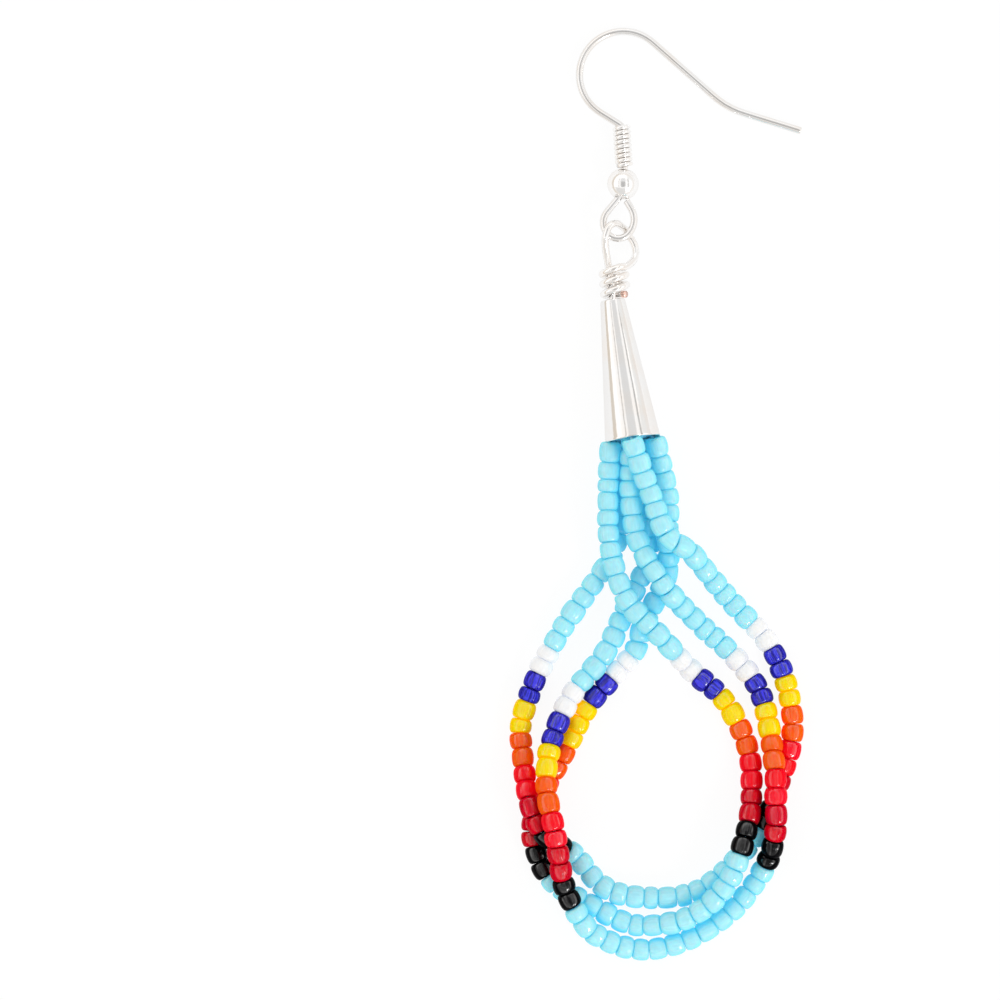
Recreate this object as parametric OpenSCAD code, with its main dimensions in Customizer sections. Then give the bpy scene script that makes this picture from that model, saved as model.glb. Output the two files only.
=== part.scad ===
// Beaded drop earring, lying flat: an ear hook with a coil and a ball, a wrapped wire drop,
// a cone and three closed loops of seed beads.
// +X to the right and +Y towards the hook's arch, as seen from above. +Z up, z = 0 is the
// surface that the earring lies on.

/* [Ear hook] */
// Diameter of the ear wire
hook_wire_d = 0.7; // [0.6:0.05:0.75]
// Length of the straight tail at the free end
tail_length = 5.6; // [4:0.1:5.6]
// Angle between the plane of the hook and the surface
hook_tilt = 5.05; // [5:0.05:5.3]

/* [Coil and ball] */
// Diameter of the wire wound round the shank
coil_wire_d = 0.46; // [0.3:0.02:0.48]
// Number of turns of that wire
coil_turns = 8; // [5:1:8]
// Diameter of the ball
ball_d = 3; // [2.6:0.1:3]
// Gap between the shank and what is threaded on it
shank_gap = 0.06; // [0.04:0.01:0.1]

/* [Drop wire] */
// Diameter of the wire of the drop
drop_wire_d = 0.68; // [0.5:0.02:0.7]
// Radius of the wraps, from the stem to the middle of the wire
wrap_r = 1.12; // [1.1:0.01:1.15]
// Distance between one wrap and the next
wrap_pitch = 0.96; // [0.94:0.01:0.98]

/* [Cone] */
// Outer diameter at the top
cone_top_d = 2.36; // [2.2:0.02:2.4]
// Outer diameter at the mouth
cone_mouth_d = 5.3; // [5.2:0.02:5.4]
// Thickness of the wall
cone_wall = 0.25; // [0.2:0.01:0.3]

/* [Bead loops] */
// Diameter of the strings of beads
strand_d = 2; // [1.8:0.02:2.02]
// Sides of a string's tube
strand_sides = 8; // [6:2:8]

/* [Hidden] */

silver = [0.86, 0.86, 0.87];
thread = [0.93, 0.93, 0.9];
turquoise = [0.5, 0.87, 0.96];
// Fineness of wires and holes, of bends and turned shapes, of the ball and of the coil's wire
round_fn = 32;
turned_fn = 64;
ball_fn = 96;
coil_fn = 16;
drop_sides = 8;

// The ear wire as a run of straights and bends from its free end: length along the wire, and
// the angle turned on the way, to the left if positive.
tail_end = [13.81, 34.54];
tail_heading = 163;
hook_run = [
  [tail_length, 0],
  [3.4, -24.5],
  [7.7, 0],
  [13.9, 189.5],
  [2.1, 0],
  [0.5, -54.5],
  [3.8, 0],
  [2.1, -20],
  [1.2, -23],
  [1.3, 0],
  [2.2, 77.5],
  [2.3, 99],
  [2.6, 73],
  [0.8, 0]
];
shank_row = 6;
// The ball follows the shank, a little to its right
ball_turn = -8;
// Direction of the line along which the hook touches the surface
rest_line = 148.9;
// A joint is a short collar a little wider than the wire, which closes the gap inside it
joint_gap = 0.03;
joint_bulge = 0.03;
joint_length = 0.1;

// The coil round the shank, whose turns run into each other a little
coil_bite = 0.02;
coil_pitch = coil_wire_d - coil_bite;
coil_inner_r = hook_wire_d / 2 + shank_gap;
coil_wire_r = coil_wire_d / 2;
// The hole of the ball is wide, because the wire bends in it
ball_hole_r = hook_wire_d / 2 + 4 * shank_gap;

// The cone's two ends
cone_mouth_at = [-2.2, 5.2, 3.05];
cone_top_at = [-4.1, 18.45, 1.65];
cone_length = norm(cone_mouth_at - cone_top_at);
cone_top_thickness = 0.4;
stem_hole_r = 0.5;

// The tie fills the cone to this distance below its mouth
tie_recess = 1.2;
tie_gap = 0.12;
stem_depth = 2.6;

// The drop wire's middle line before its wraps, from inside the cone
drop_route = [
  [-4.1, 18.5, 1.65],
  [-4.1, 19.6, 1.6],
  [-4.3, 20.7, 1.6],
  [-4.5, 21.8, 1.8],
  [-4.7, 22.9, 2.1],
  [-4.8, 24.0, 2.5],
  [-4.7, 24.8, 2.7],
  [-4.3, 25.5, 2.6],
  [-3.8, 25.7, 2.2],
  [-3.3, 25.5, 1.7],
  [-2.8, 25.0, 1.1],
  [-2.5, 24.5, 0.8],
  [-2.1, 23.9, 0.8],
  [-1.9, 23.1, 0.9],
  [-2.0, 22.4, 1.2],
  [-2.4, 21.9, 1.7],
  [-2.9, 21.6, 2.2]
];
// The wraps' axis, and how far each wrap leans
wrap_from = [-4.0, 21.6, 1.65];
wrap_to = [-3.85, 19.4, 1.65];
wrap_lean = 0.24;
wrap_steps = 12;
wrap_first = 2;
wrap_last = 35;

// The middle line of each string of beads: place on the surface, and how far the string is
// lifted off it where it lies on another.
outer_route = [
  [-2.2, 5.7, 2.3],
  [-2.4, 0.5, 2.2],
  [-1.7, -4.4, 2.4],
  [0.7, -8.5, 2.6],
  [3.6, -11.8, 0.6],
  [6.6, -14.5, 0],
  [9.5, -17.9, 0],
  [10.8, -22.2, 0.8],
  [11.3, -27.0, 2.2],
  [11.3, -32.0, 2.0],
  [10.1, -35.8, 0.2],
  [7.4, -39.3, 0],
  [3.5, -42.1, 0],
  [-1.4, -43.2, 0],
  [-5.7, -41.8, 0.8],
  [-7.5, -39.6, 1.8],
  [-8.7, -37.1, 2.4],
  [-9.5, -32.5, 3.9],
  [-10.4, -27.6, 3.2],
  [-9.8, -23.0, 1.7],
  [-7.8, -18.8, 1.0],
  [-4.8, -15.1, 0.3],
  [-2.7, -10.5, 0],
  [-0.8, -6.2, 0],
  [-0.5, -1.6, 0],
  [-0.9, 5.0, 0]
];
middle_route = [
  [-4.3, 4.7, 2.0],
  [-4.5, -0.7, 1.8],
  [-4.3, -5.3, 2.2],
  [-2.8, -10.0, 2.4],
  [0.3, -13.3, 2.1],
  [3.4, -16.7, 0],
  [6.5, -19.5, 0],
  [8.7, -23.8, 0],
  [9.1, -28.7, 0.8],
  [8.2, -33.3, 2.2],
  [6.4, -37.4, 2.0],
  [2.9, -40.2, 1.3],
  [-1.8, -40.9, 0],
  [-6.1, -39.0, 0],
  [-9.9, -36.7, 0],
  [-11.7, -32.6, 0],
  [-10.9, -28.7, 0],
  [-8.7, -24.6, 0],
  [-6.6, -20.4, 0],
  [-3.7, -16.9, 0],
  [-1.7, -14.7, 0],
  [-1.6, -13.2, 0],
  [-0.2, -10.4, 0],
  [1.2, -7.5, 0.4],
  [1.1, -4.5, 1.6],
  [1.2, -0.3, 1.3],
  [-0.1, 5.2, 2.1]
];
inner_route = [
  [-2.3, 5.1, 4.5],
  [-0.5, 0.1, 3.8],
  [1.2, -4.3, 3.9],
  [2.6, -4.8, 3.4],
  [4.7, -7.2, 1.3],
  [7.5, -10.6, 0],
  [10.5, -13.8, 0],
  [12.4, -17.9, 0],
  [13.0, -22.6, 0],
  [11.8, -27.2, 0],
  [10.3, -31.2, 0],
  [7.5, -34.8, 0],
  [4.1, -37.6, 0],
  [-0.5, -38.3, 0],
  [-4.9, -37.3, 0],
  [-7.9, -34.0, 0.1],
  [-10.4, -32.5, 1.9],
  [-11.9, -29.7, 2.2],
  [-12.4, -26.5, 0.9],
  [-12.8, -21.9, 0],
  [-11.4, -17.6, 0],
  [-9.5, -13.8, 0],
  [-6.9, -9.8, 0],
  [-4.2, -5.8, 0],
  [-3.2, -1.4, 0],
  [-3.6, 4.6, 0]
];

// Where a straight or a bend ends, seen from its own start and heading
function bend_r(row) = row[0] * 180 / (PI * row[1]);
function row_end(row) =
  row[1] == 0 ? [row[0], 0] : [bend_r(row) * sin(row[1]), bend_r(row) * (1 - cos(row[1]))];
function turned(v, a) = [v[0] * cos(a) - v[1] * sin(a), v[0] * sin(a) + v[1] * cos(a)];
// Place and heading at the start of row k of a run
function run_pose(rows, k) =
  k == 0 ? [0, 0, tail_heading]
  : let(p = run_pose(rows, k - 1), e = turned(row_end(rows[k - 1]), p[2]))
    [p[0] + e[0], p[1] + e[1], p[2] + rows[k - 1][1]];

function unit(v) = v / norm(v);
// Direction of a path at point i
function path_dir(path, i) = unit(path[min(i + 1, len(path) - 1)] - path[max(i - 1, 0)]);
// Side directions carried along a path without twist
function path_sides(path, i, side) =
  let(t = path_dir(path, i), s = unit(side - (side * t) * t))
  i == len(path) - 1 ? [s] : concat([s], path_sides(path, i + 1, s));
function tube_points(path, r, sides, side) = [
  let(n = path_sides(path, 0, side))
  for (i = [0 : len(path) - 1], k = [0 : sides - 1])
    let(b = cross(path_dir(path, i), n[i]), a = 360 * k / sides)
      path[i] + r * (cos(a) * n[i] + sin(a) * b)
];
function tube_faces(rings, sides) = concat(
  [[for (k = [sides - 1 : -1 : 0]) k]],
  [for (i = [0 : rings - 2], k = [0 : sides - 1])
    [i * sides + k, i * sides + (k + 1) % sides, (i + 1) * sides + (k + 1) % sides]],
  [for (i = [0 : rings - 2], k = [0 : sides - 1])
    [i * sides + k, (i + 1) * sides + (k + 1) % sides, (i + 1) * sides + k]],
  [[for (k = [0 : sides - 1]) (rings - 1) * sides + k]]
);

// A tube along a path of points
module tube(path, r, sides, side) {
  polyhedron(
    points = tube_points(path, r, sides, side),
    faces = tube_faces(len(path), sides),
    convexity = 10
  );
}

// One straight or bend of a wire, from the origin along +X, short of its end by a gap
module wire_row(row, d, gap) {
  if (row[1] == 0) {
    rotate([0, 90, 0]) cylinder(d = d, h = row[0] - gap, $fn = round_fn);
  } else {
    mirror([0, row[1] > 0 ? 0 : 1, 0])
      translate([0, abs(bend_r(row)), 0])
        rotate(-90)
          rotate_extrude(angle = abs(row[1]) * (1 - gap / row[0]), $fn = turned_fn)
            translate([abs(bend_r(row)), 0]) circle(d = d, $fn = round_fn);
  }
}

// The hook's own plane, tilted about the line along which it touches the surface
module in_hook_plane() {
  translate([tail_end[0], tail_end[1], hook_wire_d / 2])
    rotate(a = hook_tilt, v = [cos(rest_line), sin(rest_line), 0])
      children();
}

// Turns children from +X to the start of row k of the hook
module on_hook(k) {
  pose = run_pose(hook_run, k);
  in_hook_plane()
    translate([pose[0], pose[1], 0])
      rotate(pose[2])
        children();
}

// Turns children from +Z to the line from one point to another
module aimed(from, to) {
  v = to - from;
  translate(from)
    rotate([0, acos(v[2] / norm(v)), atan2(v[1], v[0])])
      children();
}

// The wire's straights and bends, each joined to the next
module ear_hook() {
  last = len(hook_run) - 1;
  color(silver) {
    for (k = [0 : last])
      on_hook(k) wire_row(hook_run[k], hook_wire_d, k < last ? joint_gap : 0);
    for (k = [1 : last])
      on_hook(k)
        rotate([0, 90, 0])
          cylinder(d = hook_wire_d + joint_bulge, h = joint_length, center = true, $fn = round_fn);
  }
}

// The turns of the coil, as ridges round the shank
module hook_coil() {
  color(silver)
    on_hook(shank_row)
      rotate([0, 90, 0])
        rotate_extrude($fn = round_fn)
          for (k = [0 : coil_turns - 1])
            translate([coil_inner_r + coil_wire_r, coil_wire_r + k * coil_pitch])
              circle(r = coil_wire_r, $fn = coil_fn);
}

module hook_ball() {
  color(silver)
    on_hook(shank_row + 1)
      rotate(ball_turn)
        translate([ball_d / 2, 0, 0])
          rotate([0, 90, ball_turn])
            difference() {
              sphere(d = ball_d, $fn = ball_fn);
              cylinder(r = ball_hole_r, h = 2 * ball_d, center = true, $fn = round_fn);
            }
}

// The drop's middle line: a stem out of the cone, the loop through the hook's eye, and the
// tail wrapped round the stem
function wrap_point(k) =
  let(
    a = 360 * k / wrap_steps,
    along = unit(wrap_to - wrap_from),
    middle = wrap_from + along * wrap_pitch * k / wrap_steps
  )
  middle + [wrap_r * cos(a), wrap_lean * cos(a), wrap_r * sin(a)];
function drop_path() = concat(
  [cone_top_at + stem_depth * unit(cone_mouth_at - cone_top_at)],
  drop_route,
  [for (k = [wrap_first : wrap_last]) wrap_point(k)]
);

module drop_wire() {
  color(silver) tube(drop_path(), drop_wire_d / 2, drop_sides, [1, 0, 0]);
}

module cone() {
  outer = [
    [stem_hole_r, 0],
    [cone_top_d / 2, 0],
    [cone_mouth_d / 2, cone_length],
    [cone_mouth_d / 2 - cone_wall, cone_length],
    [cone_top_d / 2 - cone_wall + (cone_mouth_d - cone_top_d) / 2 * cone_top_thickness / cone_length,
      cone_top_thickness],
    [stem_hole_r, cone_top_thickness]
  ];
  color(silver)
    aimed(cone_top_at, cone_mouth_at)
      rotate_extrude($fn = turned_fn) polygon(outer);
}

// The threads of the strings, tied and glued round the stem's end
module thread_tie() {
  slope = (cone_mouth_d - cone_top_d) / 2 / cone_length;
  low = cone_top_thickness + tie_gap;
  high = cone_length - tie_recess;
  skin = cone_top_d / 2 - cone_wall - tie_gap;
  color(thread)
    aimed(cone_top_at, cone_mouth_at)
      difference() {
        translate([0, 0, low])
          cylinder(r1 = skin + low * slope, r2 = skin + high * slope, h = high - low, $fn = turned_fn);
        cylinder(r = drop_wire_d / 2 + tie_gap, h = stem_depth + tie_gap, $fn = round_fn);
      }
}

// A string of beads as a tube of their width
module bead_string(route) {
  path = [for (p = route) [p[0], p[1], p[2] + strand_d / 2]];
  tube(path, strand_d / 2, strand_sides, [0, 0, 1]);
}

module bead_loop_outer() {
  color(turquoise) bead_string(outer_route);
}

module bead_loop_middle() {
  color(turquoise) bead_string(middle_route);
}

module bead_loop_inner() {
  color(turquoise) bead_string(inner_route);
}

ear_hook();
hook_coil();
hook_ball();
drop_wire();
cone();
thread_tie();
bead_loop_outer();
bead_loop_middle();
bead_loop_inner();
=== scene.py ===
"""Beaded drop earring lying on a white table: an ear hook with a coil and a ball, a wrapped wire
drop, a cone and three crossing loops of banded seed beads."""

import math
import random

import bmesh
import bpy
from mathutils import Matrix, Vector


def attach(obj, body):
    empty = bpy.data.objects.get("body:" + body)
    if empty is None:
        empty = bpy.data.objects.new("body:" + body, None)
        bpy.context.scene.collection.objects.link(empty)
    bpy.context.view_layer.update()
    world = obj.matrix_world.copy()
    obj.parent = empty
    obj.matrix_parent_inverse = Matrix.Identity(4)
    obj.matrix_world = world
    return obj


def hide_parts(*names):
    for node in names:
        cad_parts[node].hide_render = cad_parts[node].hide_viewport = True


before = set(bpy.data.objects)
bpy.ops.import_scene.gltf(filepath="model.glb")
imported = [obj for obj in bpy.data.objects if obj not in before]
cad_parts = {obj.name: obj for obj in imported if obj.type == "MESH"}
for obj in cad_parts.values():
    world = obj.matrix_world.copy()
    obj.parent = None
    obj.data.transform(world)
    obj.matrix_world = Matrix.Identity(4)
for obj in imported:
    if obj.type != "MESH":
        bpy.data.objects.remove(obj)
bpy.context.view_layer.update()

bl_info = {
    "name": "Beaded Earring",
    "version": (1, 0, 0),
    "blender": (4, 5, 0),
    "location": "3D View > Sidebar > Earring",
    "description": "Builds a drop earring of looped seed beads on a cone and an ear hook",
    "category": "Add Mesh",
}

BODY = "root"
MM = 0.001

# Every length of the layout is in millimetres, and is the same as in the part's solids.

# The ear wire from its free end: length of each straight or bend, and the angle turned, to the
# left if positive
HOOK_RUN = (
    (5.6, 0), (3.4, -24.5), (7.7, 0), (13.9, 189.5), (2.1, 0), (0.5, -54.5), (3.8, 0),
    (2.1, -20), (1.2, -23), (1.3, 0), (2.2, 77.5), (2.3, 99), (2.6, 73), (0.8, 0),
)
# Where the free end lies, the way that the wire leaves it, and the hook's tilt about the line from
# that end on which it rests
HOOK_END = Vector((13.81, 34.54, 0.35))
HOOK_HEADING = 163
HOOK_TILT = 5.05
HOOK_REST_LINE = 148.9
HOOK_SIDES = 24
# A bend has a ring for each so many degrees, and no fewer rings than this
BEND_STEP = 5
BEND_RINGS = 4
# How far the ear wire's two ends are filed round, and the angles of the rings of that rounding
HOOK_EDGE = 0.1
EDGE_ANGLES = (0, 30, 60, 90)
# The row of the run that goes down through the coil, and the one after it through the ball
SHANK_ROW = 6
# The coil starts beside the bend above the shank, turned by an angle to the side away from the arm
COIL_TURNS = 8.5
COIL_START = -0.2
COIL_FIRST = 60
# Steps in one turn of the coil
COIL_STEPS = 28
COIL_SIDES = 12
# The room between coil and shank, and between one turn and the next
COIL_PLAY = 0.07
COIL_GAP = 0.012
# The wire bends inside the ball, so the ball sits turned. The lip of its hole has two steps, each a
# distance out from the hole and a depth.
BALL_TURN = -8
BALL_PLAY = 0.24
BALL_LIP = 0.08
BALL_LIP_STEPS = ((0.024, 0.02), (0, 0.12))

# The drop wire from inside the cone, round its loop and down to the wraps
DROP_ROUTE = (
    (-3.73, 15.9, 1.92), (-4.1, 18.5, 1.65), (-4.1, 19.6, 1.6), (-4.3, 20.7, 1.6),
    (-4.5, 21.8, 1.8), (-4.7, 22.9, 2.1), (-4.8, 24.0, 2.5), (-4.7, 24.8, 2.7),
    (-4.3, 25.5, 2.6), (-3.8, 25.7, 2.2), (-3.3, 25.5, 1.7), (-2.8, 25.0, 1.1),
    (-2.5, 24.5, 0.8), (-2.1, 23.9, 0.8), (-1.9, 23.1, 0.9), (-2.0, 22.4, 1.2),
    (-2.4, 21.9, 1.7), (-2.9, 21.6, 2.2),
)
# The wraps go round a line along the stem: their radius, their rise in one turn, how far they lean,
# the steps in one turn, and the first and the last step that the wire takes
WRAP_FROM = Vector((-4.0, 21.6, 1.65))
WRAP_TO = Vector((-3.85, 19.4, 1.65))
WRAP_R = 1.12
WRAP_PITCH = 0.96
WRAP_LEAN = 0.24
WRAP_STEPS = 12
WRAP_FIRST = 2
WRAP_LAST = 35
DROP_SIDES = 16
# How far from the middle of the wire's cut end the copper shows, and how far back along the wire,
# both in wire diameters
BARE_REACH = 0.75
BARE_LENGTH = 0.66

# The middle of the cone's mouth and that of its top
CONE_MOUTH = Vector((-2.2, 5.2, 3.05))
CONE_TOP = Vector((-4.1, 18.45, 1.65))
# The radius of the cone's stem hole and its broken edge, how thick its top is, and its shoulder
CONE_HOLE = 0.5
CONE_HOLE_EDGE = 0.06
CONE_TOP_THICKNESS = 0.4
CONE_SHOULDER = 0.16
# The tie begins below the cone's top and ends inside its mouth, a little clear of the wall
TIE_START = 0.52
TIE_RECESS = 0.15
TIE_GAP = 0.12
# Its wall's last ring is drawn in: how far in, and how far past the start of the edge. The edge has
# a radius, and is round up to an angle.
TIE_WAIST = (0.3, 0.1)
TIE_EDGE = 0.6
TIE_EDGE_ANGLE = 70
# How high its end is domed, and the dome's ring: its share of the radius, and how much lower it is
TIE_DOME = 0.12
TIE_DOME_RING = (0.4, 0.02)
# How far the drop wire's stem reaches down into the cone
STEM_DEPTH = 2.6

# Each string of beads: bead number, place on the surface, and lift off it. The numbers run from the
# front of the first bead, at -0.5, to the back of the last.
LOOP_ROUTES = {
    "bead_loop_outer": (
        (-0.5, -2.2, 5.7, 2.3), (3, -2.4, 0.5, 2.2), (6, -1.7, -4.4, 2.4), (9, 0.7, -8.5, 2.6),
        (12, 3.6, -11.8, 0.6), (15, 6.6, -14.5, 0), (18, 9.5, -17.9, 0), (21, 10.8, -22.2, 0.8),
        (24, 11.3, -27.0, 2.2), (27, 11.3, -32.0, 2.0), (30, 10.1, -35.8, 0.2),
        (33, 7.4, -39.3, 0), (36, 3.5, -42.1, 0), (39, -1.4, -43.2, 0), (42, -5.7, -41.8, 0.8),
        (44, -7.5, -39.6, 1.8), (46, -8.7, -37.1, 2.4), (49, -9.5, -32.5, 3.9),
        (52, -10.4, -27.6, 3.2), (55, -9.8, -23.0, 1.7), (58, -7.8, -18.8, 1.0),
        (61, -4.8, -15.1, 0.3), (64, -2.7, -10.5, 0), (67, -0.8, -6.2, 0), (70, -0.5, -1.6, 0),
        (74.5, -0.9, 5.0, 0),
    ),
    "bead_loop_middle": (
        (-0.5, -4.3, 4.7, 2.0), (3, -4.5, -0.7, 1.8), (6, -4.3, -5.3, 2.2),
        (9, -2.8, -10.0, 2.4), (12, 0.3, -13.3, 2.1), (15, 3.4, -16.7, 0), (18, 6.5, -19.5, 0),
        (21, 8.7, -23.8, 0), (24, 9.1, -28.7, 0.8), (27, 8.2, -33.3, 2.2), (30, 6.4, -37.4, 2.0),
        (33, 2.9, -40.2, 1.3), (36, -1.8, -40.9, 0), (39, -6.1, -39.0, 0), (42, -9.9, -36.7, 0),
        (45, -11.7, -32.6, 0), (48, -10.9, -28.7, 0), (51, -8.7, -24.6, 0), (54, -6.6, -20.4, 0),
        (57, -3.7, -16.9, 0), (59, -1.7, -14.7, 0), (60, -1.6, -13.2, 0), (62, -0.2, -10.4, 0),
        (64, 1.2, -7.5, 0.4), (66, 1.1, -4.5, 1.6), (69, 1.2, -0.3, 1.3), (72.5, -0.1, 5.2, 2.1),
    ),
    "bead_loop_inner": (
        (-0.5, -2.3, 5.1, 4.5), (3, -0.5, 0.1, 3.8), (6, 1.2, -4.3, 3.9), (7, 2.6, -4.8, 3.4),
        (9, 4.7, -7.2, 1.3), (12, 7.5, -10.6, 0), (15, 10.5, -13.8, 0), (18, 12.4, -17.9, 0),
        (21, 13.0, -22.6, 0), (24, 11.8, -27.2, 0), (27, 10.3, -31.2, 0), (30, 7.5, -34.8, 0),
        (33, 4.1, -37.6, 0), (36, -0.5, -38.3, 0), (39, -4.9, -37.3, 0), (42, -7.9, -34.0, 0.1),
        (44, -10.4, -32.5, 1.9), (46, -11.9, -29.7, 2.2), (48, -12.4, -26.5, 0.9),
        (51, -12.8, -21.9, 0), (54, -11.4, -17.6, 0), (57, -9.5, -13.8, 0), (60, -6.9, -9.8, 0),
        (63, -4.2, -5.8, 0), (66, -3.2, -1.4, 0), (70.5, -3.6, 4.6, 0),
    ),
}
# The order of the beads: how many, of which colour
LOOP_BANDS = {
    "bead_loop_outer": "16t 2w 2n 2y 2o 2r 2d 2k 15t 2k 2d 2r 2o 2y 2n 2w 16t",
    "bead_loop_middle": "14t 2w 2n 2y 2o 2r 2d 2k 15t 2k 2d 3r 2o 3y 2n 2w 14t",
    "bead_loop_inner": "14t 2w 2n 2y 2o 2r 2d 2k 15t 2k 2d 2r 2o 2y 2n 2w 14t",
}
LOOP_SEEDS = {"bead_loop_outer": 11, "bead_loop_middle": 23, "bead_loop_inner": 37}
# How much further the first and last bead reach towards the cone, in beads
MOUTH_REACH = 0.15
# How far a bead's ends follow the planes on which neighbours meet
SLANT = 0.6
# How much the beads differ: where one ends and the next begins in shares of a bead, their place in
# mm, the tilt of the planes and of the beads, their radius, and how round they are
CUT_SPREAD = 0.09
PLACE_SPREAD = 0.05
PLANE_SPREAD = 0.05
TILT_SPREAD = 0.03
RADIUS_RANGE = (0.965, 1.03)
ROUNDNESS_RANGE = (0.97, 1.0)
# Each bead shows its own part of the glass's pattern, from a block this wide
PATTERN_SPREAD = 90
# How far to either side of a cut the string's direction is read, in beads
AIM_REACH = 0.3
# A bead's cage has so many sides, and rounds to this share of its own radius
CAGE_SIDES = 8
CAGE_SHARE = 0.902
# The beads at each end, packed tight in the neck, are a little smaller
NECK_BEADS = 10
NECK_SHARE = 0.975
# A bead lies on its widest ring, which stands out past its mean radius
REST_SHARE = 1.045
THREAD_SIDES = 8
# The thread's ends inside the cone: share of the distance from its axis, and depth in mm
THREAD_INWARD = ((0.85, 0.1), (0.7, 0.3), (0.6, TIE_RECESS + 0.3))


def linear(hex_colour):
    """An sRGB hex colour as linear red, green, blue and alpha."""
    parts = [int(hex_colour[i : i + 2], 16) / 255 for i in (1, 3, 5)]
    return (*[c / 12.92 if c <= 0.04045 else ((c + 0.055) / 1.055) ** 2.4 for c in parts], 1.0)


# Letter in LOOP_BANDS, property, name for a user, colour in the open, painted shade colour that the
# glass takes between and under beads and towards their edges, how far streaks go from one to the
# other, and the strength of a painted glow in the shade colour where beads are sheltered
BEAD_COLOURS = (
    ("t", "turquoise", "Turquoise", "#ACE8F5", "#6FDEF7", 0.1, 0.11),
    ("w", "white", "White", "#F4F5F5", "#ECF0F8", 0.15, 0.1),
    ("n", "navy", "Navy", "#4240E7", "#191273", 0.75, 0),
    ("y", "yellow", "Yellow", "#F3DC07", "#FCBC00", 0.15, 0.26),
    ("o", "orange", "Orange", "#F36510", "#FC4B0A", 0.3, 0.02),
    ("r", "red", "Red", "#F31427", "#F70A21", 0.4, 0),
    ("d", "dark_red", "Dark red", "#DD0326", "#AD0319", 0.45, 0),
    ("k", "black", "Black", "#07070A", "#030303", 0, 0),
)


def colour_property(label, what, hex_colour):
    """A colour that a user may change."""
    return bpy.props.FloatVectorProperty(
        name=label, description=what, subtype="COLOR", size=4, min=0, max=1,
        default=linear(hex_colour),
    )


def length_property(label, what, millimetres):
    """A length that a user may change, held in metres."""
    return bpy.props.FloatProperty(
        name=label, description=what, unit="LENGTH", min=0, precision=5, default=millimetres * MM
    )


class EarringSizes(bpy.types.PropertyGroup):
    """The sizes that a user would change."""

    bead_diameter: length_property("Bead diameter", "Outer diameter of an average seed bead", 2.12)
    bead_hole: length_property("Bead hole", "Diameter of the hole in a seed bead", 0.8)
    bead_gap: length_property("Bead gap", "Gap between one bead and the next", 0.03)
    thread: length_property("Thread", "Diameter of the beading thread", 0.3)
    hook_wire: length_property("Ear wire", "Diameter of the ear wire", 0.7)
    coil_wire: length_property("Coil wire", "Diameter of the wire wound round the shank", 0.43)
    ball: length_property("Ball", "Diameter of the ball", 3.0)
    drop_wire: length_property("Drop wire", "Diameter of the wire of the drop", 0.68)
    cone_top: length_property("Cone top", "Outer diameter at the top of the cone", 2.36)
    cone_mouth: length_property("Cone mouth", "Outer diameter at the mouth of the cone", 5.3)
    cone_wall: length_property("Cone wall", "Thickness of the cone's wall", 0.25)


class EarringColours(bpy.types.PropertyGroup):
    """The colours that a user would change."""

    silver: colour_property("Silver", "Plate of the ear wire and of the cone", "#F0EFEE")
    pale_silver: colour_property("Pale silver", "Plate of coil, ball and drop wire", "#F7F6F5")
    silver_warmth: colour_property("Silver warmth", "Tint of worn plate", "#FFFCF9")
    copper: colour_property("Copper", "Colour of the wire's copper core", "#F8D2C4")
    thread: colour_property("Thread", "Colour of the beading thread", "#8AD6EC")
    table: colour_property("Table", "Colour of the table", "#505050")
    turquoise: colour_property("Turquoise", "Turquoise glass", BEAD_COLOURS[0][3])
    white: colour_property("White", "White glass", BEAD_COLOURS[1][3])
    navy: colour_property("Navy", "Navy glass", BEAD_COLOURS[2][3])
    yellow: colour_property("Yellow", "Yellow glass", BEAD_COLOURS[3][3])
    orange: colour_property("Orange", "Orange glass", BEAD_COLOURS[4][3])
    red: colour_property("Red", "Red glass", BEAD_COLOURS[5][3])
    dark_red: colour_property("Dark red", "Dark red glass", BEAD_COLOURS[6][3])
    black: colour_property("Black", "Black glass", BEAD_COLOURS[7][3])


def sizes():
    """The scene's sizes, as a user set them."""
    return bpy.context.scene.earring_sizes


def colours():
    """The scene's colours, as a user set them."""
    return bpy.context.scene.earring_colours


def add(tree, kind, inputs=None, **settings):
    """Adds a node with its settings, and gives each named or numbered input a value or a link."""
    made = tree.nodes.new(kind)
    for key, value in settings.items():
        setattr(made, key, value)
    for key, value in (inputs or {}).items():
        if isinstance(value, bpy.types.NodeSocket):
            tree.links.new(value, made.inputs[key])
        else:
            made.inputs[key].default_value = value
    return made


def new_material(name):
    """An empty material, its node tree and its output node."""
    material = bpy.data.materials.new(name)
    material.use_nodes = True
    material.node_tree.nodes.clear()
    return material, material.node_tree, add(material.node_tree, "ShaderNodeOutputMaterial")


def ramp(tree, factor, stops):
    """A colour ramp with its own list of (place, colour)."""
    made = add(tree, "ShaderNodeValToRGB", {"Fac": factor})
    elements = made.color_ramp.elements
    while len(elements) < len(stops):
        elements.new(0.5)
    for element, (place, colour) in zip(elements, stops):
        element.position = place
        element.color = colour
    return made.outputs["Color"]


def grey(value):
    """A grey as linear red, green, blue and alpha."""
    return (value, value, value, 1.0)


def darker(colour, share):
    """A colour with only a share of its light."""
    return (*[c * share for c in colour[:3]], 1.0)


# Each silver plate: its colour's property, the threshold of its wear, and its least roughness. The
# lower the threshold is, the more of the warmth shows.
SILVER_PLATES = {
    "bright_silver_plate": ("silver", 0.43, 0.08),
    "pale_silver_plate": ("pale_silver", 0.49, 0.14),
    "silver_plated_copper": ("pale_silver", 0.41, 0.1),
}
# How fast the wear sets in past its threshold, and what the polishing marks add to the roughness
WEAR_EDGE = 0.2
MARK_ROUGHNESS = 0.07
# The plate's lacquer takes a little light where the metal turns away from the eye
RIM_TINT = (0.96, 0.955, 0.95, 1.0)


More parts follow.
